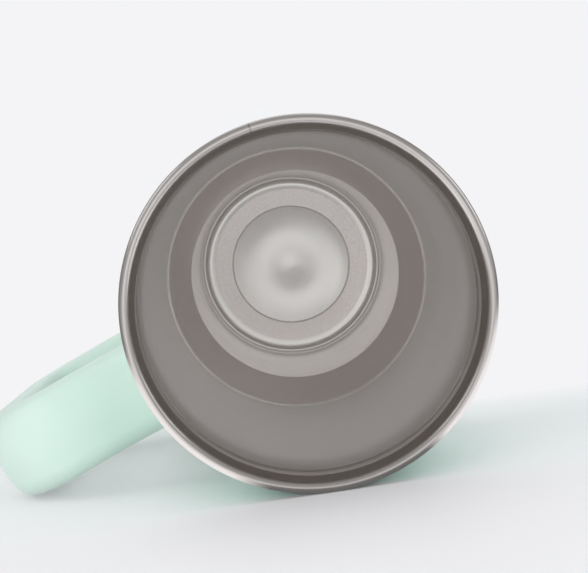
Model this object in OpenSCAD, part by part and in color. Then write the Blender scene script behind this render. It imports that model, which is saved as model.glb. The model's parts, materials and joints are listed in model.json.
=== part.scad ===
// Double-walled steel tumbler with a moulded side handle.
// Millimetres, +Z up, origin at the centre of the foot on the table, handle towards +X.

/* [Body] */
// Height of the rim above the table
height = 260; // [252:1:272]
// Outside diameter of the lip
rim_d = 99; // [98:0.5:103]
// Outside diameter of the wall just above the shoulder
waist_d = 93; // [92:0.5:95]
// Outside diameter of the lower body, which stands in a cup holder
base_d = 77.5; // [76.5:0.5:80]
// Height of the lower end of the shoulder's slope
shoulder_z = 86; // [80:1:88]
// Height that the shoulder's slope takes up
shoulder_h = 20; // [18:1:21]
// Rounding above the shoulder's slope
waist_bend = 16; // [12:1:18]
// Rounding under the shoulder's slope
base_bend = 5; // [3:0.5:7]
// Thickness of the steel sheet
sheet = 0.5; // [0.4:0.05:0.6]
// Gap between the walls, which holds the vacuum
vacuum_gap = 3; // [2.5:0.1:3.5]

/* [Mouth] */
// Radius of the rolled lip's crest
lip_r = 1.4; // [1.2:0.1:1.6]
// Height of the lip's outer skirt down to the weld
lip_h = 4.5; // [4:0.5:7]
// Distance of the lid seat inwards from the lip's outside
seat_in = 4; // [3.7:0.1:4.3]
// Depth of the top of the lid seat below the rim
seat_top = 6.2; // [5.5:0.1:7]
// Length of the lid seat
seat_h = 8.4; // [7:0.1:10]
// Inward step under the lid seat
seat_step = 0.35; // [0.25:0.05:0.5]

/* [Liner] */
// Draft of the lower wall, on the diameter
low_draft = 4.4; // [3.6:0.1:5]
// Height of the liner's shoulder above the shell's shoulder
liner_lift = 5; // [4:0.5:6]
// Height of the ring groove's floor above the table
floor_z = 14; // [13:0.5:16]
// Radius of the groove's floor, between the lower wall and the bead
floor_r = 0.6; // [0.4:0.1:0.8]
// Height of the flat ring above the groove
ring_h = 1.2; // [0.8:0.1:1.6]
// Distance from the lower wall to the crest of the bead round the flat ring
groove_w = 3; // [2.8:0.1:4]
// Height of the bead above the flat ring
bead_h = 0.18; // [0.1:0.02:0.3]
// Width of the bead's inner flank
bead_w = 1.8; // [1.4:0.1:2.4]
// Radius of the bead's outer shoulder
bead_r = 2.6; // [2:0.1:3]
// Distance from the bead's crest to the dish
flat_w = 8.2; // [7:0.2:10]
// Depth of the dish
dish_h = 1.3; // [1:0.1:2]
// Height of the raised middle of the dish
boss_h = 0.5; // [0.3:0.1:0.8]

/* [Foot] */
// Height of the outer bottom's underside above the table
bottom_z = 6; // [5.5:0.25:7]
// Height of the base cover's underside above the table
cover_z = 2; // [1.5:0.25:2.5]
// Radius of the shell's lower edge
foot_r = 0.3; // [0.2:0.05:0.35]
// Diameter of the dimple round the pump-out hole
dimple_d = 14; // [12:0.5:18]

/* [Handle] */
// Distance of the grip's outer face from the body's axis, at the upper corner
reach = 101; // [96:0.5:106]
// Width of the handle
handle_w = 26.3; // [24:0.1:30]
// Thickness of the arms and the grip
handle_t = 17; // [16:0.5:19]
// Height of the upper arm's middle
upper_z = 206; // [202:1:214]
// Height of the lower arm's middle
lower_z = 116; // [114:1:120]
// Slant of the grip towards the body
slant = 4; // [2:0.5:6]
// Bend radius of the handle's middle line
bend_r = 15.5; // [14:0.5:18]
// Rounding of the handle's long edges
edge_r = 4.5; // [4:0.25:5.5]
// Crown of the handle's faces
crown = 0.7; // [0.3:0.1:1]
// Wall of the handle's mouldings
wall = 2.2; // [2:0.1:2.6]
// Growth of an arm's outer side where it meets the body
flare_out = 5.5; // [3:0.5:7]
// Growth of an arm's inner side where it meets the body
flare_in = 2.5; // [1.5:0.5:4]
// Length of an arm over which it grows
flare_l = 17; // [12:1:20]

/* [Fixing] */
// Thickness of the brackets
plate = 1.5; // [1.2:0.1:1.8]
// Width of a bracket's tongue
tongue_w = 14; // [12:0.5:16]
// Distance of the screws outwards from the shell
screw_out = 11.5; // [10.5:0.5:13]
// Diameter of the screws
screw_d = 3.5; // [3:0.1:4]
// Diameter of the screw heads
head_d = 6.4; // [6:0.1:7]
// Diameter of the bosses in the handle
boss_d = 7.4; // [7:0.1:8.4]

/* [Fits] */
// Gap between the handle's ends and the shell
seat_gap = 0.2; // [0.1:0.05:0.3]
// Gap along the parting line between the mouldings
part_gap = 0.1; // [0.06:0.02:0.2]
// Chamfer of the groove along the parting line
groove = 0.4; // [0.2:0.05:0.6]
// Radial gap of the base cover in the foot
cover_gap = 0.1; // [0.05:0.05:0.2]
// Radial gap round a screw in its bracket
hole_gap = 0.3; // [0.2:0.05:0.5]
// Gap between the getter and its cap
cap_gap = 0.1; // [0.05:0.05:0.2]

/* [Hidden] */
$fn = 96;

rim_r = rim_d / 2;
waist_r = waist_d / 2;
base_r = base_d / 2;
seat_r = rim_r - seat_in;
weld_z = height - lip_h;
waist_z = shoulder_z + shoulder_h;
double_wall = 2 * sheet + vacuum_gap;
low_r = base_r - double_wall;
half_w = handle_w / 2;
half_t = handle_t / 2;
ring_z = floor_z + ring_h;
bead_z = ring_z + bead_h;
steel = [0.72, 0.71, 0.69];
mint = [0.76, 0.91, 0.85];

// Points of an arc round c, from angle a to angle b
function arc(c, r, a, b, n) =
    [for (i = [0:n]) c + r * [cos(a + (b - a) * i / n), sin(a + (b - a) * i / n)]];

function unit(v) = v / norm(v);

// A corner p between a and b, rounded with radius r
function corner(a, p, b, r, n) =
    let (u = unit(a - p),
         v = unit(b - p),
         half = acos(u * v) / 2,
         c = p + unit(u + v) * r / sin(half),
         t0 = p + u * r / tan(half) - c,
         t1 = p + v * r / tan(half) - c,
         a0 = atan2(t0[1], t0[0]),
         turn = atan2(t0[0] * t1[1] - t0[1] * t1[0], t0 * t1))
    arc(c, r, a0, a0 + turn, n);

// Unit normal on the left of the step from p to q
function left(p, q) = let (d = unit(q - p)) [-d[1], d[0]];

// A path moved sideways by t, so that a sheet keeps its thickness round bends
function beside(path, t) =
    let (n = len(path))
    [for (i = [0:n - 1])
        let (a = left(path[max(i - 1, 0)], path[max(i, 1)]),
             b = left(path[min(i, n - 2)], path[min(i + 1, n - 1)]),
             m = unit(a + b))
        path[i] + m * t / max(m * a, 0.3)];

function backwards(list) = [for (i = [len(list) - 1:-1:0]) list[i]];

// The sheet metal section between a path and the same path moved sideways
function section(path, t) = concat(path, backwards(beside(path, t)));

// Shell
shoulder_low = [base_r, shoulder_z];
shoulder_top = [waist_r, waist_z];
shell_top = [rim_r, weld_z];
shell_wall = concat(
    corner([base_r, 0], shoulder_low, shoulder_top, base_bend, 6),
    corner(shoulder_low, shoulder_top, shell_top, waist_bend, 10),
    [shell_top]);

// Outside radius of the shell above the shoulder, and on its slope
function shell_r(z) = z > waist_z
    ? waist_r + (rim_r - waist_r) * (z - waist_z) / (weld_z - waist_z)
    : base_r + (waist_r - base_r) * (z - shoulder_z) / shoulder_h;

module outer_shell() {
    inside = [for (p = shell_wall) p - [sheet, 0]];
    color(mint)
    rotate_extrude()
    polygon(concat(
        [[base_r - sheet, 0]],
        arc([base_r - foot_r, foot_r], foot_r, -90, 0, 4),
        shell_wall,
        backwards(inside)));
}

// Liner, drawn along its visible side from the weld over the lip to the middle of the bottom
lip_c = [rim_r - lip_r, height - lip_r];
flare_a = atan2(rim_r - 2 * lip_r - seat_r, seat_top - lip_r);
wall_top = [seat_r - seat_step, height - seat_top - seat_h - seat_step];
wall_low = [waist_r - double_wall, waist_z + liner_lift];
low_top = [low_r, shoulder_z + liner_lift];
low_end = [low_r - low_draft / 2, floor_z];
bead_top = [low_end[0] - 0.68 * groove_w, bead_z];
ring_r = low_end[0] - groove_w;
dish_r = ring_r - flat_w;
liner_path = concat(
    [[rim_r, weld_z]],
    arc(lip_c, lip_r, 0, 180 - flare_a, 16),
    [[seat_r, height - seat_top], [seat_r, height - seat_top - seat_h]],
    [wall_top],
    corner(wall_top, wall_low, low_top, waist_bend, 10),
    corner(wall_low, low_top, low_end, base_bend - 1, 6),
    corner(low_top, low_end, bead_top, floor_r, 6),
    corner(low_end, bead_top, [ring_r, bead_z], bead_r, 8),
    [for (i = [0:6]) [ring_r - bead_w * i / 6, ring_z + bead_h * (1 + cos(30 * i)) / 2]],
    [[dish_r + 0.4, ring_z], [dish_r, ring_z - 0.3]],
    [for (i = [1:6]) [dish_r * (1 - i / 12), ring_z - 0.3 - (dish_h - 0.3) * (1 - pow(1 - i / 6, 2))]],
    [for (i = [7:11]) [dish_r * (1 - i / 12), ring_z - dish_h + boss_h * (1 + cos(30 * i)) / 2]],
    [[1, ring_z - dish_h + boss_h], [0, ring_z - dish_h + boss_h]]);

module inner_liner() {
    color(steel)
    rotate_extrude()
    polygon(section(liner_path, sheet));
}

// Foot
plug_r = base_r - sheet;
hole_r = 1.5;
dimple_h = 1.6;
bottom_path = concat(
    [[plug_r, 0]],
    corner([plug_r, 0], [plug_r, bottom_z + sheet], [0, bottom_z + sheet], 1.6, 6),
    [[dimple_d / 2 + 1.6, bottom_z + sheet],
     [dimple_d / 2, bottom_z + sheet + dimple_h],
     [hole_r, bottom_z + sheet + dimple_h]]);

module outer_bottom() {
    color(steel)
    rotate_extrude()
    polygon(section(bottom_path, sheet));
}

// Pressed cover with an upturned edge and two shallow rings
cover_r = plug_r - sheet - cover_gap;
cover_path = concat(
    [[cover_r, cover_z + 1.6]],
    corner([cover_r, cover_z + 2], [cover_r, cover_z], [0, cover_z], 1.2, 6),
    [[cover_r - 6, cover_z], [cover_r - 6.6, cover_z + 0.6], [cover_r - 9, cover_z + 0.6],
     [cover_r - 9.6, cover_z], [0, cover_z]]);

module base_cover() {
    color(steel)
    rotate_extrude()
    polygon(section(cover_path, -sheet));
}

module sealing_glass() {
    dome = bottom_z + dimple_h;
    color([0.35, 0.42, 0.36])
    union() {
        translate([0, 0, dome - 1.1])
        cylinder(r = dimple_d / 2 - 2, h = 1.1);
        translate([0, 0, dome - 0.1])
        cylinder(r = hole_r, h = sheet + 0.3);
    }
}

getter_x = -plug_r * 0.52;
getter_z = bottom_z + sheet;
getter_r = 3.8;
getter_h = 1.6;

module getter() {
    color([0.45, 0.44, 0.43])
    translate([getter_x, 0, getter_z])
    cylinder(r = getter_r, h = getter_h);
}

module getter_cap() {
    skin = 0.3;
    inner = getter_r + cap_gap;
    top = getter_h + cap_gap;
    color(steel)
    translate([getter_x, 0, getter_z])
    difference() {
        rotate_extrude()
        polygon([[inner, 0], [inner + 2.6, 0], [inner + 2.6, skin], [inner + skin, skin],
                 [inner + skin, top + skin], [0, top + skin], [0, top], [inner, top]]);
        for (i = [0:2])
            rotate(i * 120)
            translate([2.1, 0, top - 0.5])
            cylinder(r = 0.8, h = skin + 1);
    }
}

// Middle line of the handle: points, with the direction that faces outwards from the loop
turn_up = 90 + slant;
upper_c = [reach - half_t - bend_r, upper_z - bend_r];
upper_end = upper_c + bend_r * [cos(90 - turn_up), sin(90 - turn_up)];
run = (upper_end[1] - lower_z - bend_r * (1 - sin(slant))) / cos(slant);
lower_start = upper_end + run * [-sin(slant), -cos(slant)];
lower_c = lower_start - bend_r * [cos(slant), -sin(slant)];
root_u = shell_r(upper_z);
root_l = shell_r(lower_z);
screw_x = root_u + screw_out;
flare_n = 5;

// Growth of an arm at distance x from the body
function grow(x) = x >= flare_l ? 0 : pow(1 - x / flare_l, 2);

// Each station is [x, z, outward angle, growth of the section]
stations = concat(
    [for (i = [0:flare_n]) let (d = 1.5 + (flare_l - 1.5) * i / flare_n) [root_u + d, upper_z, 90, grow(d)]],
    [for (i = [0:12]) let (a = 90 - turn_up * i / 12)
        [upper_c[0] + bend_r * cos(a), upper_c[1] + bend_r * sin(a), a, 0]],
    [for (i = [1:3]) let (p = upper_end + (lower_start - upper_end) * i / 4) [p[0], p[1], -slant, 0]],
    [for (i = [0:12]) let (a = -slant - (90 - slant) * i / 12)
        [lower_c[0] + bend_r * cos(a), lower_c[1] + bend_r * sin(a), a, 0]],
    [for (i = [flare_n:-1:0]) let (d = 1.5 + (flare_l - 1.5) * i / flare_n) [root_l + d, lower_z, -90, grow(d)]]);

// Half of the handle's section, from one side over the crowned face to the other
function arch(w, t, r, c) =
    concat(arc([-w + r, t - r], r, 180, 90, 5),
           [for (k = [-0.5, 0, 0.5]) [k * (w - r), t + c * (1 - k * k)]],
           arc([w - r, t - r], r, 90, 0, 5));

function flip(list) = [for (p = backwards(list)) [-p[0], p[1]]];

lap = 1.4;
mid = half_w - wall / 2;

// Cover section: outer line and inner line with the same number of points
function cover_line(t) =
    let (e = [[-mid + part_gap / 2, -lap], [-mid + part_gap / 2, part_gap / 2],
              [-half_w + groove, part_gap / 2], [-half_w, groove]])
    concat(e, arch(half_w, t, edge_r, crown), flip(e));
function cover_back(t) =
    let (e = [[-half_w + wall, -lap], [-half_w + wall, part_gap / 2],
              [-half_w + wall, part_gap], [-half_w + wall, groove]])
    concat(e, arch(half_w - wall, t - wall, edge_r - wall, 0), flip(e));

// Frame section, drawn the same way and turned over afterwards
function frame_line(t) =
    let (e = [[-half_w + groove, part_gap / 2], [-half_w, groove], [-half_w, lap + part_gap]])
    concat(e, arch(half_w, t, edge_r, crown), flip(e));
function frame_back(t) =
    let (e = [[-mid - part_gap / 2, part_gap / 2], [-mid - part_gap / 2, lap + part_gap],
              [-half_w + wall, lap + part_gap]])
    concat(e, arch(half_w - wall, t - wall, edge_r - wall, 0), flip(e));

// A point of the section set at a station, side is 1 for outwards and -1 for inwards
function place(s, p, side) =
    [s[0] + side * p[1] * cos(s[2]), p[0], s[1] + side * p[1] * sin(s[2])];

// The same point on the end of an arm, which follows the shell's curve
function seat(s, p, side) =
    let (z = s[1] + side * p[1] * sin(s[2]))
    [sqrt(pow(shell_r(z) + seat_gap, 2) - p[0] * p[0]), p[0], z];

// A moulding swept along the stations, rings holds the outer line and then the inner line
module sweep(rings, side) {
    n = len(rings[0]);
    m = len(stations);
    half = n / 2;
    ends = [stations[0], stations[m - 1]];
    points = concat(
        [for (p = rings[0]) seat(ends[0], p, side)],
        [for (i = [0:m - 1]) each [for (p = rings[i]) place(stations[i], p, side)]],
        [for (p = rings[m - 1]) seat(ends[1], p, side)]);
    sides = [for (i = [0:m]) each [for (j = [0:n - 1]) each
        let (a = i * n + j, b = i * n + (j + 1) % n, c = b + n, d = a + n) [[a, b, c], [a, c, d]]]];
    first = [for (j = [0:half - 2]) each
        let (a = j, b = j + 1, c = n - 2 - j, d = n - 1 - j) [[a, c, b], [a, d, c]]];
    last = [for (f = first) [for (k = [2, 1, 0]) f[k] + (m + 1) * n]];
    faces = concat(sides, first, last);
    polyhedron(points, side > 0 ? faces : [for (f = faces) [f[2], f[1], f[0]]], convexity = 8);
}

module handle_cover() {
    color(mint)
    sweep([for (s = stations) let (t = half_t + flare_out * s[3])
        concat(cover_line(t), backwards(cover_back(t)))], 1);
}

// Fixing: heights measured from an arm's middle towards the inside of the loop
tongue_top = 0.5;
boss_top = tongue_top + plate;
boss_end = half_t - wall / 2;
screw_end = half_t - wall * 0.7;

module boss() {
    translate([screw_x, 0, -boss_end])
    cylinder(d = boss_d, h = boss_end - boss_top);
}

module screw() {
    translate([screw_x, 0, -tongue_top])
    cylinder(d = head_d, h = 2.2);
    translate([screw_x, 0, -screw_end])
    cylinder(d = screw_d, h = screw_end);
}

// Pad that follows the shell and a tongue that carries the screw
module bracket(z, way) {
    pad_h = 9;
    pad_a = 11;
    low = z - pad_h / 2;
    high = z + pad_h / 2;
    tongue_z = way > 0 ? z - tongue_top - plate : z + tongue_top;
    color(steel)
    difference() {
        union() {
            rotate(-pad_a)
            rotate_extrude(angle = 2 * pad_a)
            polygon([[shell_r(low), low], [shell_r(low) + 1, low],
                     [shell_r(high) + 1, high], [shell_r(high), high]]);
            translate([shell_r(z) + 0.5, -tongue_w / 2, tongue_z])
            cube([screw_x + head_d / 2 + 2 - shell_r(z) - 0.5, tongue_w, plate]);
        }
        translate([screw_x, 0, z - 6])
        cylinder(d = screw_d + 2 * hole_gap, h = 12);
    }
}

module upper_bracket() {
    bracket(upper_z, 1);
}

module lower_bracket() {
    bracket(lower_z, -1);
}

// Sets a fixing part at both arms, turned over at the lower one
module at_arms() {
    translate([0, 0, upper_z])
    children();
    translate([0, 0, lower_z])
    mirror([0, 0, 1])
    children();
}

module handle_frame() {
    color(mint)
    difference() {
        union() {
            sweep([for (s = stations) let (t = half_t + flare_in * s[3])
                concat(frame_line(t), backwards(frame_back(t)))], -1);
            at_arms() boss();
        }
        at_arms()
        translate([screw_x, 0, -screw_end])
        cylinder(d = screw_d, h = screw_end);
    }
}

module handle_screws() {
    color(steel)
    at_arms() screw();
}

inner_liner();
outer_shell();
outer_bottom();
base_cover();
sealing_glass();
getter();
getter_cap();
upper_bracket();
lower_bracket();
handle_frame();
handle_cover();
handle_screws();
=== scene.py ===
"""Looks of a double-walled steel tumbler with a moulded side handle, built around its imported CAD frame."""

import json
import math

import bmesh
import bpy
from bpy.props import FloatProperty, FloatVectorProperty, IntProperty, PointerProperty, StringProperty
from mathutils import Matrix, Vector


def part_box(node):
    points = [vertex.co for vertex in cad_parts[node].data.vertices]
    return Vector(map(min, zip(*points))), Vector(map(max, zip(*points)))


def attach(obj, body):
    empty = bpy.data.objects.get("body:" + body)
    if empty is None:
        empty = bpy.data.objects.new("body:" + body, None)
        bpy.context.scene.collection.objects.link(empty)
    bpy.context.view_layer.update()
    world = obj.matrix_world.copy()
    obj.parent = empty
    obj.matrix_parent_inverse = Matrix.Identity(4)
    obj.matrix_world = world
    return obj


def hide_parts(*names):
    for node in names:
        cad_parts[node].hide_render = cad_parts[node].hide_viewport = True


bl_info = {
    "name": "Steel Tumbler With Handle",
    "version": (1, 0, 0),
    "blender": (4, 5, 0),
    "location": "3D View > Sidebar > Tumbler",
    "description": "Builds the visible skin of a double-walled steel tumbler and its studio",
    "category": "Object",
}

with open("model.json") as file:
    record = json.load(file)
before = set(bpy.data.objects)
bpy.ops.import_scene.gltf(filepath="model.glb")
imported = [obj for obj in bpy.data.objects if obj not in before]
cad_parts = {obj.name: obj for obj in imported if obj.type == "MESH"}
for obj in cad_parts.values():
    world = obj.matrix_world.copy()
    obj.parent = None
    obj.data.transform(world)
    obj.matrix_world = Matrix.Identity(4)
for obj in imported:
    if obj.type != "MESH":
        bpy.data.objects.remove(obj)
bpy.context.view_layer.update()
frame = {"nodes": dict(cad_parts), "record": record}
MM = 0.001
# Points closer than this are one point
TOUCH = 1e-6
# A piece's corners lie within this distance of its CAD node's
FIT = 0.6 * MM
# A height below all pieces
UNDER_ALL = -1.0

LINER_LOW, LINER_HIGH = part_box("inner_liner")
SHELL_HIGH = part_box("outer_shell")[1]
COVER_LOW, COVER_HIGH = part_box("handle_cover")
MOUNTS = {mount["name"]: mount for mount in frame["record"]["mounts"]}
SEAT = MOUNTS["lid_seat"]
SEAT_LOW = SEAT["pos_m"][2] - SEAT["dims"]["length_mm"] * MM / 2
FOOT_R = MOUNTS["cup_holder_foot"]["dims"]["r_mm"] * MM
# The shell slopes out from its foot to its waist, and widens evenly from there to the rim
SLOPE_Z = 86 * MM
WAIST_Z = 106 * MM
WAIST_R = 46.5 * MM
# The liner's wall ends here, and its shoulder starts
SHOULDER_Z = 109 * MM
# Direction of the liner's weld, which shows as a line across the lip
WELD = math.radians(258.65)

# Lines of the sweep's grid, closest where its strengths change: heights of the table, distances of
# the backdrop from the body's axis, and distances to the left of the body
TABLE_LINES = (1.2, 0.9, 0.7, 0.6, 0.5, 0.45, 0.42, 0.405, 0.39, 0.37, 0.345, 0.325, 0.31, 0.3, 0.285,
               0.275, 0.265, 0.25, 0.23, 0.21, 0.18, 0.15, 0.12, 0.09, 0.07, 0.05, 0.035, 0.02, 0.01)
BACK_LINES = (0.035, 0.02, 0.0, -0.02, -0.04, -0.06, -0.08, -0.1, -0.13, -0.17, -0.22, -0.3,
              -0.4, -0.6, -0.9, -1.3)
LEFT_LINES = (-1.4, -0.9, -0.6, -0.4, -0.3, -0.24, -0.2, -0.17, -0.14, -0.12, -0.1, -0.085, -0.07,
              -0.055, -0.04, -0.03, -0.02, 0.0, 0.018, 0.03, 0.05, 0.07, 0.085, 0.1, 0.12, 0.14,
              0.17, 0.2, 0.24, 0.3, 0.4, 0.6, 0.9, 1.4)


# Sizes and colours that a user would change


class TUMBLER_PG_handle(bpy.types.PropertyGroup):
    """Sizes of the handle's two mouldings"""

    reach: FloatProperty(
        name="Reach", description="Grip's outer face from the body's axis",
        default=101 * MM, unit="LENGTH")
    width: FloatProperty(
        name="Width", description="Width of the handle",
        default=COVER_HIGH.y - COVER_LOW.y, unit="LENGTH")
    thick: FloatProperty(
        name="Thickness", description="Thickness of the arms and the grip",
        default=17 * MM, unit="LENGTH")
    upper: FloatProperty(
        name="Upper arm", description="Height of the upper arm's middle",
        default=206 * MM, unit="LENGTH")
    lower: FloatProperty(
        name="Lower arm", description="Height of the lower arm's middle",
        default=116 * MM, unit="LENGTH")
    slant: FloatProperty(
        name="Slant", description="Slant of the grip towards the body",
        default=math.radians(4), subtype="ANGLE")
    bend: FloatProperty(
        name="Bend", description="Bend radius of the handle's middle line",
        default=15.5 * MM, unit="LENGTH")
    edge: FloatProperty(
        name="Edge", description="Rounding of the long edges",
        default=6.5 * MM, unit="LENGTH")
    crown: FloatProperty(
        name="Crown", description="Crown of the handle's faces",
        default=0.7 * MM, unit="LENGTH")
    wall: FloatProperty(
        name="Wall", description="Wall of the mouldings",
        default=2.2 * MM, unit="LENGTH")
    flare_out: FloatProperty(
        name="Outer flare", description="Growth of an arm's outer side at the body",
        default=5.5 * MM, unit="LENGTH")
    flare_in: FloatProperty(
        name="Inner flare", description="Growth of an arm's inner side at the body",
        default=2.5 * MM, unit="LENGTH")
    flare_run: FloatProperty(
        name="Flare run", description="Length of an arm over which it grows",
        default=17 * MM, unit="LENGTH")
    groove: FloatProperty(
        name="Groove", description="Chamfer along the parting line",
        default=0.4 * MM, unit="LENGTH")


class TUMBLER_PG_finish(bpy.types.PropertyGroup):
    """Colours of the finishes, as sRGB hex"""

    satin: StringProperty(name="Satin steel", description="Walls inside", default="#F8F6F5")
    pressed: StringProperty(name="Pressed steel", description="Dish and bead inside", default="#F8F5F1")
    ring: StringProperty(name="Blasted ring", description="Flat ring round the dish", default="#ECE5E2")
    brushed: StringProperty(name="Brushed steel", description="Lip", default="#FAF4F0")
    polished: StringProperty(name="Polished steel", description="Lid seat", default="#C8C2BD")
    spun: StringProperty(name="Spun steel", description="Foot", default="#D0CBC6")
    coat: StringProperty(name="Powder coat", description="Coat of the outer shell", default="#B0E1CD")
    moulding: StringProperty(name="Moulding", description="Plastic of the handle", default="#D2E8DE")
    turns: IntProperty(
        name="Turns", description="Steps of the turned pieces", default=256, min=32, max=512)


class TUMBLER_PG_stage(bpy.types.PropertyGroup):
    """Studio round the tumbler, which lies on its side"""

    eye: FloatVectorProperty(
        name="Camera", description="Place of the camera",
        default=(-0.00397, -0.03757, 0.82477), subtype="TRANSLATION")
    aim: FloatVectorProperty(
        name="Aim", description="Point that the camera looks at",
        default=(0.00103, -0.00596, 0.25968), subtype="TRANSLATION")
    roll: FloatProperty(
        name="Roll", description="Turn of the picture against the table",
        default=math.radians(-8.2), subtype="ANGLE")
    lens: FloatProperty(
        name="Lens", description="Focal length on a 36 mm frame",
        default=133.66, unit="CAMERA")
    lie: FloatProperty(
        name="Lie", description="Direction of the table, turned from the handle",
        default=math.radians(68.3), subtype="ANGLE")
    dome: FloatProperty(
        name="Dome", description="Strength of the even light from all round",
        default=0.71, min=0)
    room: FloatProperty(
        name="Room", description="Strength of the room as steel mirrors it",
        default=0.26, min=0)
    halo: FloatProperty(
        name="Halo", description="Strength of the room round the camera as steel mirrors it",
        default=0.64, min=0)
    front: FloatProperty(
        name="Front", description="Strength of the room right behind the camera as steel mirrors it",
        default=0.76, min=0)


class TUMBLER_PG_settings(bpy.types.PropertyGroup):
    """All settings of the tumbler"""

    handle: PointerProperty(type=TUMBLER_PG_handle)
    finish: PointerProperty(type=TUMBLER_PG_finish)
    stage: PointerProperty(type=TUMBLER_PG_stage)


# Materials


def linear(text):
    """An sRGB hex colour as linear RGBA."""
    parts = [int(text[i:i + 2], 16) / 255 for i in (1, 3, 5)]
    return [c / 12.92 if c <= 0.04045 else ((c + 0.055) / 1.055) ** 2.4 for c in parts] + [1.0]


def add(tree, kind, sockets=None, **settings):
    """Adds a node with its settings, its socket values and its links."""
    node = tree.nodes.new(kind)
    for name, value in settings.items():
        setattr(node, name, value)
    for key, value in (sockets or {}).items():
        if isinstance(value, bpy.types.NodeSocket):
            tree.links.new(value, node.inputs[key])
        else:
            node.inputs[key].default_value = value
    return node


def start(name):
    """A new empty material: its tree, its Object coordinates and its output node."""
    material = bpy.data.materials.new(name)
    material.use_nodes = True
    tree = material.node_tree
    tree.nodes.clear()
    place = add(tree, "ShaderNodeTexCoord").outputs["Object"]
    return material, tree, place, add(tree, "ShaderNodeOutputMaterial")


def per(size_mm):
    """Texture scale for a pattern of this size on coordinates in metres."""
    return 1 / (size_mm * MM)


def satin_blasted_steel(colour, seat, shoulder):
    # Stainless steel, blasted and electropolished: a soft grey sheen without mirror images, a fine
    # grit that breaks highlights, and faint cloudy changes of gloss. The blast bites deepest below
    # the lid seat, and the pressed part from the shoulder down keeps more of the sheet's gloss.
    bite, turn = 25 * MM, 5 * MM
    material, tree, place, out = start("satin_blasted_steel")
    # Grit is about 0.1 mm in life and is drawn at 0.5 mm so that it shows.
    grit = add(tree, "ShaderNodeTexNoise", {"Vector": place, "Scale": per(0.5), "Detail": 3.0})
    cloud = add(tree, "ShaderNodeTexNoise", {"Vector": place, "Scale": per(22), "Detail": 2.0})
    gloss = add(tree, "ShaderNodeMapRange", {
        "Value": cloud.outputs["Fac"], "To Min": 0.34, "To Max": 0.38})
    split = add(tree, "ShaderNodeSeparateXYZ", {"Vector": place})
    bitten = add(tree, "ShaderNodeMapRange", {
        "Value": split.outputs["Z"], "From Min": seat - bite, "From Max": seat,
        "To Min": 1.0, "To Max": 1.4}, interpolation_type="SMOOTHSTEP")
    pressed = add(tree, "ShaderNodeMapRange", {
        "Value": split.outputs["Z"], "From Min": shoulder, "From Max": shoulder + turn,
        "To Min": 0.44, "To Max": 1.0})
    change = add(tree, "ShaderNodeMath", {
        0: bitten.outputs["Result"], 1: pressed.outputs["Result"]}, operation="MULTIPLY")
    gloss = add(tree, "ShaderNodeMath", {
        0: gloss.outputs["Result"], 1: change.outputs["Value"]}, operation="MULTIPLY")
    bump = add(tree, "ShaderNodeBump", {
        "Height": grit.outputs["Fac"], "Strength": 0.12, "Distance": 0.06 * MM})
    shader = add(tree, "ShaderNodeBsdfPrincipled", {
        "Base Color": linear(colour), "Metallic": 1.0,
        "Roughness": gloss.outputs["Value"], "Normal": bump.outputs["Normal"]})
    tree.links.new(shader.outputs["BSDF"], out.inputs["Surface"])
    return material


def coarse_blasted_steel(colour):
    # Stainless steel, blasted with a coarser grit than the walls: a dull, sandy, slightly warm grey
    # whose grains are a little lighter or darker.
    material, tree, place, out = start("coarse_blasted_steel")
    # Grit is about 0.2 mm in life and is drawn at 0.6 mm so that it shows.
    grit = add(tree, "ShaderNodeTexNoise", {"Vector": place, "Scale": per(0.6), "Detail": 3.0})
    gloss = add(tree, "ShaderNodeMapRange", {
        "Value": grit.outputs["Fac"], "To Min": 0.17, "To Max": 0.31})
    tone = add(tree, "ShaderNodeMapRange", {
        "Value": grit.outputs["Fac"], "From Min": 0.3, "From Max": 0.7, "To Min": 0.93, "To Max": 1.07})
    shade = add(tree, "ShaderNodeHueSaturation", {
        "Value": tone.outputs["Result"], "Color": linear(colour)})
    bump = add(tree, "ShaderNodeBump", {
        "Height": grit.outputs["Fac"], "Strength": 0.7, "Distance": 0.08 * MM})
    shader = add(tree, "ShaderNodeBsdfPrincipled", {
        "Base Color": shade.outputs["Color"], "Metallic": 1.0,
        "Roughness": gloss.outputs["Result"], "Normal": bump.outputs["Normal"]})
    tree.links.new(shader.outputs["BSDF"], out.inputs["Surface"])
    return material


def electropolished_steel(colour):
    # Stainless steel, pressed in a die and electropolished: a closer sheen than the walls,
    # with the sheet's fine grain still in it.
    material, tree, place, out = start("electropolished_steel")
    # Grain is about 0.05 mm in life and is drawn at 0.7 mm so that it shows.
    grain = add(tree, "ShaderNodeTexNoise", {"Vector": place, "Scale": per(0.7), "Detail": 3.0})
    gloss = add(tree, "ShaderNodeMapRange", {
        "Value": grain.outputs["Fac"], "To Min": 0.18, "To Max": 0.23})
    bump = add(tree, "ShaderNodeBump", {
        "Height": grain.outputs["Fac"], "Strength": 0.12, "Distance": 0.06 * MM})
    shader = add(tree, "ShaderNodeBsdfPrincipled", {
        "Base Color": linear(colour), "Metallic": 1.0,
        "Roughness": gloss.outputs["Result"], "Normal": bump.outputs["Normal"]})
    tree.links.new(shader.outputs["BSDF"], out.inputs["Surface"])
    return material


def polished_steel(colour):
    # Stainless steel, polished by the roll that forms the seat, with soft reflections and patches of haze.
    # Its colour is set darker than the blasted walls to give the seat's dark band under the lip.
    material, tree, place, out = start("polished_steel")
    haze = add(tree, "ShaderNodeTexNoise", {"Vector": place, "Scale": per(6), "Detail": 3.0})
    gloss = add(tree, "ShaderNodeMapRange", {
        "Value": haze.outputs["Fac"], "To Min": 0.32, "To Max": 0.4})
    shader = add(tree, "ShaderNodeBsdfPrincipled", {
        "Base Color": linear(colour), "Metallic": 1.0, "Roughness": gloss.outputs["Result"]})
    tree.links.new(shader.outputs["BSDF"], out.inputs["Surface"])
    return material


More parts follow.
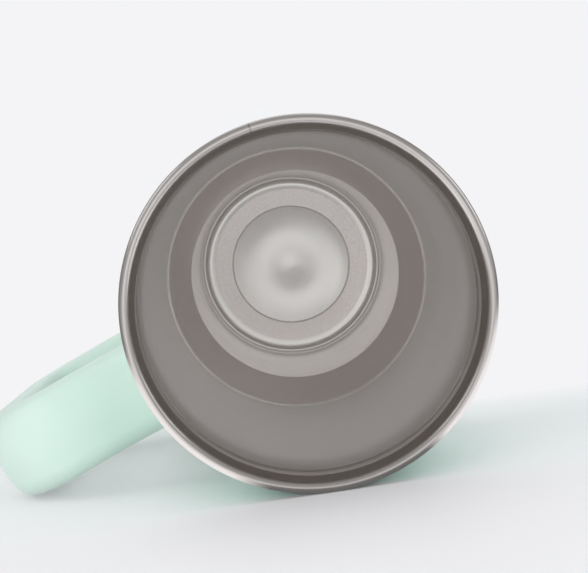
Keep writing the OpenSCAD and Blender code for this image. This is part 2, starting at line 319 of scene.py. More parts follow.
def brushed_steel(colour, weld_colour, weld_way):
    # Stainless steel, brushed round the rim on a wheel: a soft streak of light that runs along
    # the lip, and one thin dull line where the sheet's weld crosses it.
    core, rim = 0.1 * MM, 0.4 * MM
    material, tree, place, out = start("brushed_steel")
    turned = add(tree, "ShaderNodeMapping", {"Vector": place, "Rotation": (0.0, 0.0, -weld_way)})
    split = add(tree, "ShaderNodeSeparateXYZ", {"Vector": turned.outputs["Vector"]})
    off = add(tree, "ShaderNodeMath", {0: split.outputs["Y"]}, operation="ABSOLUTE")
    line = add(tree, "ShaderNodeMapRange", {
        "Value": off.outputs["Value"], "From Min": core, "From Max": rim, "To Min": 1.0, "To Max": 0.0})
    side = add(tree, "ShaderNodeMath", {0: split.outputs["X"], 1: 0.0}, operation="GREATER_THAN")
    weld = add(tree, "ShaderNodeMath", {
        0: line.outputs["Result"], 1: side.outputs["Value"]}, operation="MULTIPLY")
    haze = add(tree, "ShaderNodeTexNoise", {"Vector": place, "Scale": per(6), "Detail": 3.0})
    gloss = add(tree, "ShaderNodeMapRange", {
        "Value": haze.outputs["Fac"], "To Min": 0.27, "To Max": 0.33})
    around = add(tree, "ShaderNodeTangent", direction_type="RADIAL", axis="Z")
    tint = add(tree, "ShaderNodeMix", {
        0: weld.outputs["Value"], 6: linear(colour), 7: linear(weld_colour)}, data_type="RGBA")
    shader = add(tree, "ShaderNodeBsdfPrincipled", {
        "Base Color": tint.outputs[2], "Metallic": 1.0, "Roughness": gloss.outputs["Result"],
        "Anisotropic": 0.5, "Anisotropic Rotation": 0.25, "Tangent": around.outputs["Tangent"]})
    tree.links.new(shader.outputs["BSDF"], out.inputs["Surface"])
    return material


def spun_steel(colour):
    # Stainless steel, turned under an abrasive: hair-fine rings that draw the light
    # into a fan round the middle.
    material, tree, place, out = start("spun_steel")
    split = add(tree, "ShaderNodeSeparateXYZ", {"Vector": place})
    flat = add(tree, "ShaderNodeCombineXYZ", {"X": split.outputs["X"], "Y": split.outputs["Y"]})
    radius = add(tree, "ShaderNodeVectorMath", {0: flat.outputs["Vector"]}, operation="LENGTH")
    # Rings are about 0.1 mm apart in life and are drawn 0.6 mm apart so that they show.
    rings = add(tree, "ShaderNodeTexNoise", {
        "W": radius.outputs["Value"], "Scale": per(0.6), "Detail": 2.0}, noise_dimensions="1D")
    gloss = add(tree, "ShaderNodeMapRange", {
        "Value": rings.outputs["Fac"], "To Min": 0.3, "To Max": 0.4})
    bump = add(tree, "ShaderNodeBump", {
        "Height": rings.outputs["Fac"], "Strength": 0.1, "Distance": 0.04 * MM})
    around = add(tree, "ShaderNodeTangent", direction_type="RADIAL", axis="Z")
    shader = add(tree, "ShaderNodeBsdfPrincipled", {
        "Base Color": linear(colour), "Metallic": 1.0, "Roughness": gloss.outputs["Result"],
        "Anisotropic": 0.55, "Anisotropic Rotation": 0.25,
        "Normal": bump.outputs["Normal"], "Tangent": around.outputs["Tangent"]})
    tree.links.new(shader.outputs["BSDF"], out.inputs["Surface"])
    return material


def mint_powder_coat(colour):
    # Polyester powder, sprayed and baked: an even matt colour with a fine orange peel
    # that blurs highlights, and grains that are a little lighter or darker.
    material, tree, place, out = start("mint_powder_coat")
    # Peel is about 0.4 mm in life and is drawn at 0.9 mm so that it shows.
    peel = add(tree, "ShaderNodeTexNoise", {"Vector": place, "Scale": per(0.9), "Detail": 2.0})
    grain = add(tree, "ShaderNodeTexNoise", {"Vector": place, "Scale": per(0.6), "Detail": 1.0})
    tone = add(tree, "ShaderNodeMapRange", {
        "Value": grain.outputs["Fac"], "From Min": 0.3, "From Max": 0.7, "To Min": 0.95, "To Max": 1.05})
    shade = add(tree, "ShaderNodeHueSaturation", {
        "Value": tone.outputs["Result"], "Color": linear(colour)})
    bump = add(tree, "ShaderNodeBump", {
        "Height": peel.outputs["Fac"], "Strength": 0.25, "Distance": 0.1 * MM})
    shader = add(tree, "ShaderNodeBsdfPrincipled", {
        "Base Color": shade.outputs["Color"], "Roughness": 0.48, "Normal": bump.outputs["Normal"]})
    tree.links.new(shader.outputs["BSDF"], out.inputs["Surface"])
    return material


def mint_moulded_polypropylene(colour):
    # Polypropylene, moulded in a finely etched tool: a smooth satin skin with soft
    # highlights and barely uneven gloss and colour.
    material, tree, place, out = start("mint_moulded_polypropylene")
    # The tool's etch is about 0.1 mm in life and is drawn at 0.5 mm so that it shows.
    etch = add(tree, "ShaderNodeTexNoise", {"Vector": place, "Scale": per(0.5), "Detail": 2.0})
    flow = add(tree, "ShaderNodeTexNoise", {"Vector": place, "Scale": per(18), "Detail": 2.0})
    gloss = add(tree, "ShaderNodeMapRange", {
        "Value": flow.outputs["Fac"], "To Min": 0.32, "To Max": 0.42})
    tone = add(tree, "ShaderNodeMapRange", {
        "Value": flow.outputs["Fac"], "To Min": 0.98, "To Max": 1.02})
    shade = add(tree, "ShaderNodeHueSaturation", {
        "Value": tone.outputs["Result"], "Color": linear(colour)})
    bump = add(tree, "ShaderNodeBump", {
        "Height": etch.outputs["Fac"], "Strength": 0.06, "Distance": 0.05 * MM})
    shader = add(tree, "ShaderNodeBsdfPrincipled", {
        "Base Color": shade.outputs["Color"], "Roughness": gloss.outputs["Result"], "IOR": 1.49,
        "Normal": bump.outputs["Normal"]})
    tree.links.new(shader.outputs["BSDF"], out.inputs["Surface"])
    return material


def fused_solder_glass(colour):
    # Solder glass, fused in the vacuum oven: a dark glassy bead with tiny bubbles.
    material, tree, place, out = start("fused_solder_glass")
    bubbles = add(tree, "ShaderNodeTexVoronoi", {"Vector": place, "Scale": per(0.8)})
    tone = add(tree, "ShaderNodeMapRange", {
        "Value": bubbles.outputs["Distance"], "To Min": 0.8, "To Max": 1.2})
    shade = add(tree, "ShaderNodeHueSaturation", {
        "Value": tone.outputs["Result"], "Color": linear(colour)})
    shader = add(tree, "ShaderNodeBsdfPrincipled", {
        "Base Color": shade.outputs["Color"], "Roughness": 0.12, "IOR": 1.6})
    tree.links.new(shader.outputs["BSDF"], out.inputs["Surface"])
    return material


def sintered_getter_metal(colour):
    # Zirconium alloy, pressed and sintered: a dull dark pellet with open grain.
    material, tree, place, out = start("sintered_getter_metal")
    grain = add(tree, "ShaderNodeTexNoise", {"Vector": place, "Scale": per(0.4), "Detail": 4.0})
    tone = add(tree, "ShaderNodeMapRange", {
        "Value": grain.outputs["Fac"], "To Min": 0.7, "To Max": 1.3})
    shade = add(tree, "ShaderNodeHueSaturation", {
        "Value": tone.outputs["Result"], "Color": linear(colour)})
    bump = add(tree, "ShaderNodeBump", {
        "Height": grain.outputs["Fac"], "Strength": 0.5, "Distance": 0.1 * MM})
    shader = add(tree, "ShaderNodeBsdfPrincipled", {
        "Base Color": shade.outputs["Color"], "Metallic": 1.0, "Roughness": 0.75,
        "Normal": bump.outputs["Normal"]})
    tree.links.new(shader.outputs["BSDF"], out.inputs["Surface"])
    return material


def white_paper_sweep(tone):
    # Matt white studio paper that takes real shadows. For the camera it has a share of even white, all of it
    # further off, so no fold shows, and a part of it beside the body, where it lightens the real shadows as
    # painted light. Steel mirrors a painted reflection of it instead, with painted light and painted shade
    # in set places, at a strength where 1 is white. Its back is clear to the camera.
    material, tree, _, out = start("white_paper_sweep")
    matt = add(tree, "ShaderNodeBsdfDiffuse", {"Color": linear(tone)})
    ray = add(tree, "ShaderNodeLightPath")
    far = add(tree, "ShaderNodeAttribute", attribute_name="far")
    even = add(tree, "ShaderNodeEmission", {"Color": linear(tone), "Strength": 1.0})
    seen = add(tree, "ShaderNodeMath", {
        0: ray.outputs["Is Camera Ray"], 1: far.outputs["Fac"]}, operation="MULTIPLY")
    front = add(tree, "ShaderNodeMixShader", {
        0: seen.outputs["Value"], 1: matt.outputs["BSDF"], 2: even.outputs["Emission"]})
    # Painted reflection: glossy and transmission rays see an emission whose strength is painted on each
    # point.
    painted_reflection = add(tree, "ShaderNodeAttribute", attribute_name="painted_reflection")
    lit = add(tree, "ShaderNodeEmission", {"Color": linear(tone), "Strength": painted_reflection.outputs["Fac"]})
    bent = add(tree, "ShaderNodeMath", {
        0: ray.outputs["Is Glossy Ray"], 1: ray.outputs["Is Transmission Ray"]}, operation="MAXIMUM")
    front = add(tree, "ShaderNodeMixShader", {
        0: bent.outputs["Value"], 1: front.outputs["Shader"], 2: lit.outputs["Emission"]})
    side = add(tree, "ShaderNodeNewGeometry")
    clear = add(tree, "ShaderNodeBsdfTransparent")
    away = add(tree, "ShaderNodeMath", {
        0: side.outputs["Backfacing"], 1: ray.outputs["Is Camera Ray"]}, operation="MULTIPLY")
    both = add(tree, "ShaderNodeMixShader", {
        0: away.outputs["Value"], 1: front.outputs["Shader"], 2: clear.outputs["BSDF"]})
    tree.links.new(both.outputs["Shader"], out.inputs["Surface"])
    return material


def finish(name):
    """The named finish, made once."""
    if name in bpy.data.materials:
        return bpy.data.materials[name]
    colours = bpy.context.scene.tumbler.finish
    makers = {
        "satin_blasted_steel": lambda: satin_blasted_steel(colours.satin, SEAT_LOW, SHOULDER_Z),
        "coarse_blasted_steel": lambda: coarse_blasted_steel(colours.ring),
        "electropolished_steel": lambda: electropolished_steel(colours.pressed),
        "polished_steel": lambda: polished_steel(colours.polished),
        "brushed_steel": lambda: brushed_steel(colours.brushed, "#D5D1CD", WELD),
        "spun_steel": lambda: spun_steel(colours.spun),
        "mint_powder_coat": lambda: mint_powder_coat(colours.coat),
        "mint_moulded_polypropylene": lambda: mint_moulded_polypropylene(colours.moulding),
        "fused_solder_glass": lambda: fused_solder_glass("#4A5A4C"),
        "sintered_getter_metal": lambda: sintered_getter_metal("#6E6C69"),
        "white_paper_sweep": lambda: white_paper_sweep("#F4F4F6"),
    }
    return makers[name]()


# Shapes


def link(name, mesh):
    """An object at the origin that shows the mesh."""
    piece = bpy.data.objects.new(name, mesh)
    bpy.context.scene.collection.objects.link(piece)
    return piece


def put(piece, node):
    """Sets the piece on the frame in the place of its CAD node."""
    for mine, theirs in zip(piece_box(piece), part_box(node)):
        if (mine - theirs).length > FIT:
            raise RuntimeError(f"{piece.name} doesn't cover {node}: {mine} against {theirs}")
    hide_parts(node)
    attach(piece, "root")


def piece_box(piece):
    """Lowest and highest corner of a piece."""
    places = [v.co for v in piece.data.vertices]
    low = Vector([min(p[i] for p in places) for i in range(3)])
    high = Vector([max(p[i] for p in places) for i in range(3)])
    return low, high


def seam_profile(node):
    """The outline of a turned CAD node where it meets the +X half plane, and whether it is closed.

    Its points are (radius, height), in order.
    """
    mesh = frame["nodes"][node].data
    links = {}
    for edge in mesh.edges:
        ends = [mesh.vertices[i].co for i in edge.vertices]
        if all(abs(c.y) < TOUCH and c.x > -TOUCH for c in ends):
            a, b = [(round(c.x, 6), round(c.z, 6)) for c in ends]
            if a != b:
                links.setdefault(a, set()).add(b)
                links.setdefault(b, set()).add(a)
    tips = sorted(p for p in links if len(links[p]) == 1)
    outline = [tips[0] if tips else min(links)]
    seen = set(outline)
    while True:
        ahead = sorted(p for p in links[outline[-1]] if p not in seen)
        if not ahead:
            break
        outline.append(ahead[0])
        seen.add(ahead[0])
    if len(seen) < len(links):
        raise RuntimeError(f"{node}: {len(links) - len(seen)} points of its outline were not reached")
    return thin(outline), not tips


def thin(outline):
    """The outline without points that lie on a straight stretch."""
    straight = 2e-4
    kept = [outline[0]]
    for here, after in zip(outline[1:], outline[2:]):
        a, b, c = Vector(kept[-1]), Vector(here), Vector(after)
        if abs((b - a).cross(c - b)) > straight * (b - a).length * (c - b).length:
            kept.append(here)
    return kept + [outline[-1]]


def held(outline):
    """The outline with a point near each end of its flats, so that they stay flat when shaded smooth."""
    flat, hold, most, gentle = 0.8 * MM, 0.15 * MM, 0.3, math.radians(10)
    places = [Vector(p) for p in outline]
    spans = [b - a for a, b in zip(places, places[1:])]

    def one_curve(i, j):
        """Whether two neighbouring stretches belong to one long, gentle curve."""
        if not 0 <= i < j < len(spans):
            return False
        return min(spans[i].length, spans[j].length) > flat and spans[i].angle(spans[j]) < gentle

    full = [outline[0]]
    for i, span in enumerate(spans):
        if span.length > flat:
            near = span * min(hold / span.length, most)
            if not one_curve(i - 1, i):
                full.append(tuple(places[i] + near))
            if not one_curve(i, i + 1):
                full.append(tuple(places[i + 1] - near))
        full.append(outline[i + 1])
    return full


def lathe_tree(bands):
    """A node tree that turns a line of points round Z, with one material per height band."""
    tree = bpy.data.node_groups.new("Turn On Lathe", "GeometryNodeTree")
    tree.interface.new_socket("Outline", in_out="INPUT", socket_type="NodeSocketGeometry")
    steps = tree.interface.new_socket("Turns", in_out="INPUT", socket_type="NodeSocketInt")
    tree.interface.new_socket("Piece", in_out="OUTPUT", socket_type="NodeSocketGeometry")
    given = add(tree, "NodeGroupInput")
    count = add(tree, "GeometryNodeAttributeDomainSize", {
        "Geometry": given.outputs["Outline"]}, component="MESH")
    columns = add(tree, "ShaderNodeMath", {0: given.outputs["Turns"], 1: 1.0}, operation="ADD")
    grid = add(tree, "GeometryNodeMeshGrid", {
        "Size X": 1.0, "Size Y": 1.0,
        "Vertices X": columns.outputs["Value"], "Vertices Y": count.outputs["Point Count"]})
    # Across the grid lies the angle, and along it the row, which is a point of the line.
    place = add(tree, "GeometryNodeInputPosition")
    split = add(tree, "ShaderNodeSeparateXYZ", {"Vector": place.outputs["Position"]})
    angle = add(tree, "ShaderNodeMath", {
        0: split.outputs["X"], 1: math.tau, 2: math.pi}, operation="MULTIPLY_ADD")
    last = add(tree, "ShaderNodeMath", {0: count.outputs["Point Count"], 1: 1.0}, operation="SUBTRACT")
    along = add(tree, "ShaderNodeMath", {0: split.outputs["Y"], 1: 0.5}, operation="ADD")
    row = add(tree, "ShaderNodeMath", {
        0: along.outputs["Value"], 1: last.outputs["Value"], 2: 0.5}, operation="MULTIPLY_ADD")
    row = add(tree, "ShaderNodeMath", {0: row.outputs["Value"]}, operation="FLOOR")
    own = add(tree, "GeometryNodeInputPosition")
    point = add(tree, "GeometryNodeSampleIndex", {
        "Geometry": given.outputs["Outline"]}, data_type="FLOAT_VECTOR", domain="POINT")
    tree.links.new(own.outputs["Position"], point.inputs["Value"])
    tree.links.new(row.outputs["Value"], point.inputs["Index"])
    read = add(tree, "ShaderNodeSeparateXYZ", {"Vector": point.outputs["Value"]})
    cosine = add(tree, "ShaderNodeMath", {0: angle.outputs["Value"]}, operation="COSINE")
    sine = add(tree, "ShaderNodeMath", {0: angle.outputs["Value"]}, operation="SINE")
    x = add(tree, "ShaderNodeMath", {
        0: read.outputs["X"], 1: cosine.outputs["Value"]}, operation="MULTIPLY")
    y = add(tree, "ShaderNodeMath", {
        0: read.outputs["X"], 1: sine.outputs["Value"]}, operation="MULTIPLY")
    turned = add(tree, "ShaderNodeCombineXYZ", {
        "X": x.outputs["Value"], "Y": y.outputs["Value"], "Z": read.outputs["Z"]})
    skin = add(tree, "GeometryNodeSetPosition", {
        "Geometry": grid.outputs["Mesh"], "Position": turned.outputs["Vector"]})
    skin = add(tree, "GeometryNodeMergeByDistance", {
        "Geometry": skin.outputs["Geometry"], "Distance": TOUCH})
    skin = add(tree, "GeometryNodeSetShadeSmooth", {"Geometry": skin.outputs["Geometry"]})
    skin = add(tree, "GeometryNodeRealizeInstances", {"Geometry": skin.outputs["Geometry"]})
    height = add(tree, "GeometryNodeInputPosition")
    height = add(tree, "ShaderNodeSeparateXYZ", {"Vector": height.outputs["Position"]})
    for floor, material in bands:
        above = add(tree, "FunctionNodeCompare", {
            0: height.outputs["Z"], 1: floor}, data_type="FLOAT", operation="GREATER_THAN")
        skin = add(tree, "GeometryNodeSetMaterial", {
            "Geometry": skin.outputs["Geometry"], "Selection": above.outputs["Result"],
            "Material": material})
    add(tree, "NodeGroupOutput", {"Piece": skin.outputs["Geometry"]})
    return tree, steps.identifier


def turned_piece(name, node, bands):
    """A smooth turned skin over a turned CAD node, with a material from each band's floor upwards."""
    outline, closed = seam_profile(node)
    if closed:
        outline = outline + outline[:1]
    else:
        outline = [(0.0, outline[0][1])] + outline + [(0.0, outline[-1][1])]
    outline = held(outline)
    mesh = bpy.data.meshes.new(name + "_outline")
    pairs = [(i, i + 1) for i in range(len(outline) - 1)]
    mesh.from_pydata([(r, 0.0, z) for r, z in outline], pairs, [])
    piece = link(name, mesh)
    tree, steps = lathe_tree(bands)
    turner = piece.modifiers.new("Turn On Lathe", "NODES")
    turner.node_group = tree
    turner[steps] = bpy.context.scene.tumbler.finish.turns
    bpy.context.view_layer.update()
    made = piece.evaluated_get(bpy.context.evaluated_depsgraph_get())
    skin = bpy.data.meshes.new_from_object(made)
    piece.modifiers.clear()
    piece.data = skin
    if skin.materials[0] is None:
        skin.materials.pop(index=0)
    face_outwards(skin, sharp_degrees=35)
    return piece


def face_outwards(mesh, sharp_degrees):
    """Turns all faces outwards, shades them smooth and keeps real edges sharp."""
    work = bmesh.new()
    work.from_mesh(mesh)
    bmesh.ops.recalc_face_normals(work, faces=work.faces)
    work.to_mesh(mesh)
    work.free()
    mesh.shade_smooth()
    mesh.set_sharp_from_angle(angle=math.radians(sharp_degrees))


def arc(centre, radius, first, last, count):
    """Points of an arc, with angles in degrees."""
    angles = [math.radians(first + (last - first) * i / count) for i in range(count + 1)]
    return [(centre[0] + radius * math.cos(a), centre[1] + radius * math.sin(a)) for a in angles]


def shell_radius(z):
    """Outside radius of the shell above its waist, and on the slope under it."""
    if z > WAIST_Z:
        return WAIST_R + (SHELL_HIGH.x - WAIST_R) * (z - WAIST_Z) / (SHELL_HIGH.z - WAIST_Z)
    return FOOT_R + (WAIST_R - FOOT_R) * (z - SLOPE_Z) / (WAIST_Z - SLOPE_Z)


def handle_stations(size):
    """Stations along the handle's middle line: x, z, angle that faces outwards, growth of the section."""
    off, arm_steps, bend_steps, grip_steps = 1.5 * MM, 14, 32, 12
    half = size.thick / 2
    top = Vector((size.reach - half - size.bend, size.upper - size.bend))
    end = top + size.bend * Vector((math.cos(size.slant), -math.sin(size.slant)))
    run = (end.y - size.lower - size.bend * (1 - math.sin(size.slant))) / math.cos(size.slant)
    low = end + run * Vector((-math.sin(size.slant), -math.cos(size.slant)))
    bottom = low - size.bend * Vector((math.cos(size.slant), -math.sin(size.slant)))
    slant = math.degrees(size.slant)

    def arm(z, facing):
        root = shell_radius(z)
        runs = [off + (size.flare_run - off) * i / arm_steps for i in range(arm_steps + 1)]
        return [(root + d, z, facing, (1 - d / size.flare_run) ** 2) for d in runs]

    def bend(centre, first, last):
        turns = [first + (last - first) * i / bend_steps for i in range(bend_steps + 1)]
        return [(centre.x + size.bend * math.cos(math.radians(a)),
                 centre.y + size.bend * math.sin(math.radians(a)), a, 0.0) for a in turns]

    grip = [end.lerp(low, i / grip_steps) for i in range(1, grip_steps)]
    return (arm(size.upper, 90) + bend(top, 90, -slant)
            + [(p.x, p.y, -slant, 0.0) for p in grip]
            + bend(bottom, -slant, -90) + arm(size.lower, -90)[::-1])


def half_section(size, grown, inset):
    """Half of the handle's section, from one side over the crowned face to the other."""
    edge_steps, face_steps = 10, 8
    w, t, r = size.width / 2 - inset, size.thick / 2 + grown - inset, size.edge - inset
    crown = 0.0 if inset else size.crown
    shares = [k / face_steps for k in range(1 - face_steps, face_steps)]
    face = [(k * (w - r), t + crown * (1 - k ** 2)) for k in shares]
    return (arc((-w + r, t - r), r, 180, 90, edge_steps) + face
            + arc((w - r, t - r), r, 90, 0, edge_steps))


def moulding(name, size, flare, side):
    """One half of the handle, swept along its stations. Side is 1 for the outer half, -1 for the inner."""
    parting, body_gap = 0.05 * MM, 0.2 * MM
    stations = handle_stations(size)
    mouth = size.width / 2
    groove = size.groove
    edge = [(-mouth + size.wall / 2, parting), (-mouth + groove, parting),
            (-mouth + groove * 0.3, groove * 0.5), (-mouth, groove)]
    lip = [(-mouth + size.wall, v) for v in (parting, 2 * parting, groove * 0.5, groove)]
    rings = []
    for x, z, facing, growth in [stations[0]] + stations + [stations[-1]]:
        outer = edge + half_section(size, flare * growth, 0) + [(-u, v) for u, v in edge[::-1]]
        inner = lip + half_section(size, flare * growth, size.wall) + [(-u, v) for u, v in lip[::-1]]
        across = math.radians(facing)
        out_x, out_z = side * math.cos(across), side * math.sin(across)
        rings.append([(x + v * out_x, u, z + v * out_z) for u, v in outer + inner[::-1]])
    for ring in (rings[0], rings[-1]):
        for i, (x, y, z) in enumerate(ring):
            ring[i] = (math.sqrt((shell_radius(z) + body_gap) ** 2 - y * y), y, z)
    n = len(rings[0])
    faces = [(i * n + j, i * n + (j + 1) % n, (i + 1) * n + (j + 1) % n, (i + 1) * n + j)
             for i in range(len(rings) - 1) for j in range(n)]
    caps = [(j, j + 1, n - 2 - j, n - 1 - j) for j in range(n // 2 - 1)]
    offset = (len(rings) - 1) * n
    faces += caps + [tuple(offset + k for k in cap) for cap in caps]
    mesh = bpy.data.meshes.new(name)
    mesh.from_pydata([p for ring in rings for p in ring], [], faces)
    mesh.materials.append(finish("mint_moulded_polypropylene"))
    face_outwards(mesh, sharp_degrees=40)
    return link(name, mesh)


# Strengths of the sweep, in metres to the left of the body (t), along it (z) and from its axis


def ramp(value, low, high):
    """Rises from 0 to 1 between two values."""
    return min(max((value - low) / (high - low), 0.0), 1.0)


def painted_floor_reflection(t, z):
    """Painted reflection: strength of the floor as steel mirrors it, where 1 is white."""
    # Painted reflection under the foot, at a fixed strength.
    foot_z, foot_t, foot_strength = 0.02, 0.09, 0.6
    if z < foot_z and abs(t) < foot_t:
        return foot_strength
    # Painted light: the floor glows on both sides of the body and, a little less, before its mouth.
    beside = max(ramp(t, 0.018, 0.03), ramp(-t, 0.03, 0.04))
    before = 0.78 * ramp(z, 0.275, 0.3)
    # Painted shade: a dark strip before the mouth, and a dim patch to the right of it.
    strip = 0.95 * ramp(z, 0.325, 0.345) * (1 - ramp(z, 0.39, 0.42)) * (1 - ramp(abs(t), 0.05, 0.07))
    patch = 0.65 * ramp(-t, 0.0, 0.04) * ramp(z, 0.28, 0.31)
    patch *= 1 - ramp(-t, 0.04, 0.055) * (1 - ramp(z, 0.35, 0.38))
    # The painted light fades to the sides and forwards, painted shade of 0.15 is left where none is painted,
    # and the open floor further on glows evenly.
    fade = ramp(-abs(t), -0.25, -0.15) * (1 - 0.5 * ramp(z, 0.42, 0.55))
    ahead = ramp(z, 0.5, 0.7)
    shaded, even = 0.15, 0.8
    lit = shaded + (1 - shaded) * max(beside, before) * (1 - max(strip, patch)) * fade
    return lit * (1 - ahead) + even * ahead


def even_floor(t, z, from_axis):
    """Share of even white in the floor as the camera sees it."""
    under_foot = 0.042
    aside = ramp(abs(t), 0.16, 0.34)
    behind = 0.0
    if from_axis >= under_foot:
        behind = ramp((0.11 if t > 0 else 0.2) - z, 0.0, 0.08)
    # Painted light: a share of even white beside the body lightens the real shadows there.
    lifted = 0.35 * ramp(abs(t), 0.02, 0.05)
    return max(aside, behind, lifted)


# Operators


class TUMBLER_OT_liner(bpy.types.Operator):
    """Turns the liner with its brushed lip, polished seat, satin walls and pressed bottom"""

    bl_idname = "tumbler.liner"
    bl_label = "Steel Liner"

    def execute(self, context):
        ring_low, ring_high = LINER_LOW.z + 1.75 * MM, LINER_LOW.z + 1.83 * MM
        wall_low = LINER_LOW.z + 2.6 * MM
        seat_low = SEAT_LOW - 1.5 * MM
        lip_low = LINER_HIGH.z - 2.4 * MM
        bands = [(UNDER_ALL, finish("electropolished_steel")),
                 (ring_low, finish("coarse_blasted_steel")),
                 (ring_high, finish("electropolished_steel")),
                 (wall_low, finish("satin_blasted_steel")),
                 (seat_low, finish("polished_steel")),
                 (lip_low, finish("brushed_steel"))]
        put(turned_piece("steel_liner", "inner_liner", bands), "inner_liner")
        return {"FINISHED"}


class TUMBLER_OT_shell(bpy.types.Operator):
    """Turns the powder-coated outer shell"""

    bl_idname = "tumbler.shell"
    bl_label = "Coated Shell"

    def execute(self, context):
        bands = [(UNDER_ALL, finish("mint_powder_coat"))]
        put(turned_piece("coated_shell", "outer_shell", bands), "outer_shell")
        return {"FINISHED"}


class TUMBLER_OT_handle(bpy.types.Operator):
    """Sweeps the two mouldings of the handle"""

    bl_idname = "tumbler.handle"
    bl_label = "Handle Mouldings"

    def execute(self, context):
        size = context.scene.tumbler.handle
        put(moulding("handle_outer_half", size, size.flare_out, 1), "handle_cover")
        put(moulding("handle_inner_half", size, size.flare_in, -1), "handle_frame")
        return {"FINISHED"}


class TUMBLER_OT_foot(bpy.types.Operator):
    """Gives the foot's discs and the pieces inside their finishes"""

    bl_idname = "tumbler.foot"
    bl_label = "Foot And Inner Pieces"

    def execute(self, context):
        finishes = {
            "outer_bottom": "spun_steel", "base_cover": "spun_steel", "getter_cap": "satin_blasted_steel",
            "upper_bracket": "satin_blasted_steel", "lower_bracket": "satin_blasted_steel",
            "handle_screws": "satin_blasted_steel", "sealing_glass": "fused_solder_glass",
            "getter": "sintered_getter_metal"}
        for node, name in finishes.items():
            slots = frame["nodes"][node].data.materials
            slots.clear()
            slots.append(finish(name))
        return {"FINISHED"}


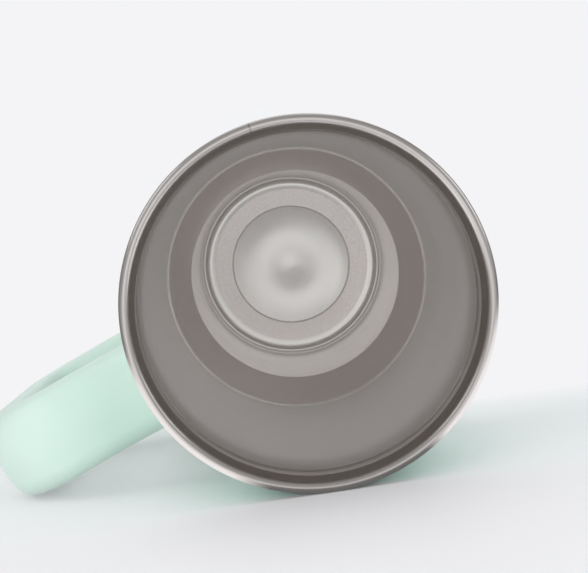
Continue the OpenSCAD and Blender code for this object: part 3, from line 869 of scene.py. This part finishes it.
class TUMBLER_OT_stage(bpy.types.Operator):
    """Lays the white sweep under the tumbler and sets the lamps and the camera"""

    bl_idname = "tumbler.stage"
    bl_label = "Studio"

    def execute(self, context):
        stage = context.scene.tumbler.stage
        down = Vector((math.cos(stage.lie), math.sin(stage.lie), 0))
        self.lay_sweep(down)
        view = self.set_camera(context, stage, down)
        self.set_lamps(context, stage, view)
        context.scene.view_settings.view_transform = "Standard"
        # Light bounces many times before it leaves a deep steel cup.
        context.scene.cycles.max_bounces = 16
        context.scene.cycles.glossy_bounces = 12
        return {"FINISHED"}

    def lay_sweep(self, down):
        """A table that touches the body's side and a backdrop behind its foot, in one sheet."""
        lean = (SHELL_HIGH.x - WAIST_R) / (SHELL_HIGH.z - WAIST_Z)
        level = WAIST_R - lean * WAIST_Z
        left = down.cross(Vector((0, 0, 1)))
        back, fold, fold_turns = -1 * MM, 5 * MM, (0.2, 0.6, 1.0, 1.4)
        line = [(level + lean * z, z) for z in TABLE_LINES]
        line += [(level - fold + fold * math.cos(a), back + fold - fold * math.sin(a)) for a in fold_turns]
        line += [(s, back) for s in BACK_LINES]
        places = [down * s + left * t + Vector((0, 0, z)) for s, z in line for t in LEFT_LINES]
        n = len(LEFT_LINES)
        faces = [(i * n + j, i * n + j + 1, (i + 1) * n + j + 1, (i + 1) * n + j)
                 for i in range(len(line) - 1) for j in range(n - 1)]
        mesh = bpy.data.meshes.new("white_sweep")
        mesh.from_pydata(places, [], faces)
        far = mesh.attributes.new("far", "FLOAT", "POINT")
        painted_reflection = mesh.attributes.new("painted_reflection", "FLOAT", "POINT")
        for i, place in enumerate(places):
            t = place.dot(left)
            far.data[i].value = even_floor(t, place.z, math.hypot(place.x, place.y))
            painted_reflection.data[i].value = painted_floor_reflection(t, place.z)
        mesh.materials.append(finish("white_paper_sweep"))
        sweep = link("white_sweep", mesh)
        on_table = mesh.polygons[len(mesh.polygons) // 4]
        if on_table.normal.dot(down) > 0:
            mesh.flip_normals()

    def set_camera(self, context, stage, down):
        """The camera at the photograph's place. Returns its right, up and back directions."""
        eye, aim = Vector(stage.eye), Vector(stage.aim)
        back = (eye - aim).normalized()
        up = Matrix.Rotation(stage.roll, 3, back) @ -down
        up = (up - back * up.dot(back)).normalized()
        right = up.cross(back)
        camera = bpy.data.cameras.new("photo_camera")
        camera.lens = stage.lens
        camera.sensor_width = 36
        camera.clip_start, camera.clip_end = 0.01, 20
        eye_object = bpy.data.objects.new("photo_camera", camera)
        turn = Matrix((right, up, back)).transposed().to_4x4()
        eye_object.matrix_world = Matrix.Translation(eye) @ turn
        context.scene.collection.objects.link(eye_object)
        context.scene.camera = eye_object
        return right, up, back

    def set_lamps(self, context, stage, view):
        """An even dome, which steel mirrors as a room, and soft boxes."""
        _, up, back = view
        world = bpy.data.worlds.new("studio")
        world.use_nodes = True
        tree = world.node_tree
        way = add(tree, "ShaderNodeTexCoord").outputs["Generated"]
        # The room is brighter round the camera's place, and a little below it most of all. The
        # limits are cosines of the angle.
        round_camera = add(tree, "ShaderNodeVectorMath", {0: way, 1: back}, operation="DOT_PRODUCT")
        room = add(tree, "ShaderNodeMapRange", {
            "Value": round_camera.outputs["Value"], "From Min": 0.94, "From Max": 0.975,
            "To Min": stage.room, "To Max": stage.halo}, interpolation_type="SMOOTHSTEP")
        middle = (back - up * 0.05).normalized()
        behind_camera = add(tree, "ShaderNodeVectorMath", {0: way, 1: middle}, operation="DOT_PRODUCT")
        front = add(tree, "ShaderNodeMapRange", {
            "Value": behind_camera.outputs["Value"], "From Min": 0.988, "From Max": 0.9976},
            interpolation_type="SMOOTHSTEP")
        room = add(tree, "ShaderNodeMix", {
            0: front.outputs["Result"], 2: room.outputs["Result"], 3: stage.front}, data_type="FLOAT")
        ray = add(tree, "ShaderNodeLightPath")
        level = add(tree, "ShaderNodeMix", {
            0: ray.outputs["Is Glossy Ray"], 2: stage.dome, 3: room.outputs[0]}, data_type="FLOAT")
        tree.links.new(level.outputs[0], tree.nodes["Background"].inputs["Strength"])
        tree.nodes["Background"].inputs["Color"].default_value = (1, 1, 1, 1)
        context.scene.world = world
        # Place from the mouth (right, up and towards the camera), side, watts, and whether steel mirrors it
        boxes = {
            "key_box": ((0.3, 0.75, -0.85), 0.7, 4.8, True),
            "left_box": ((-0.85, 0.5, 0.1), 0.5, 0.55, True),
            "right_box": ((0.85, 0.5, 0.1), 0.5, 0.6, True),
            "left_fill": ((-0.6, 0.1, 0.95), 0.5, 3.4, False),
            "right_fill": ((0.45, 0.12, 0.95), 0.5, 2.6, False),
            "mouth_box": ((-0.27, -0.02, 0.75), 0.25, 0.06, True)}
        mouth, faced = Vector((0, 0, LINER_HIGH.z)), Vector((0, 0, 0.2))
        for name, (place, side, watts, mirrored) in boxes.items():
            lamp = bpy.data.lights.new(name, "AREA")
            lamp.shape = "SQUARE"
            lamp.size = side
            lamp.energy = watts
            box = bpy.data.objects.new(name, lamp)
            spot = mouth + sum((axis * d for axis, d in zip(view, place)), Vector())
            turn = (spot - faced).to_track_quat("Z", "Y").to_matrix().to_4x4()
            box.matrix_world = Matrix.Translation(spot) @ turn
            box.visible_glossy = mirrored
            context.scene.collection.objects.link(box)


class TUMBLER_PT_sidebar(bpy.types.Panel):
    """Lists the steps that build the tumbler"""

    bl_idname = "TUMBLER_PT_sidebar"
    bl_label = "Tumbler"
    bl_space_type = "VIEW_3D"
    bl_region_type = "UI"
    bl_category = "Tumbler"

    def draw(self, context):
        for step in STEPS:
            self.layout.operator(step.bl_idname)


GROUPS = (TUMBLER_PG_handle, TUMBLER_PG_finish, TUMBLER_PG_stage, TUMBLER_PG_settings)
STEPS = (TUMBLER_OT_liner, TUMBLER_OT_shell, TUMBLER_OT_handle, TUMBLER_OT_foot, TUMBLER_OT_stage)
CLASSES = GROUPS + STEPS + (TUMBLER_PT_sidebar,)


def register():
    for item in CLASSES:
        bpy.utils.register_class(item)
    bpy.types.Scene.tumbler = PointerProperty(type=TUMBLER_PG_settings)


def unregister():
    del bpy.types.Scene.tumbler
    for item in reversed(CLASSES):
        bpy.utils.unregister_class(item)


def main():
    register()
    bpy.ops.tumbler.liner()
    bpy.ops.tumbler.shell()
    bpy.ops.tumbler.handle()
    bpy.ops.tumbler.foot()
    bpy.ops.tumbler.stage()


if __name__ == "__main__":
    main()
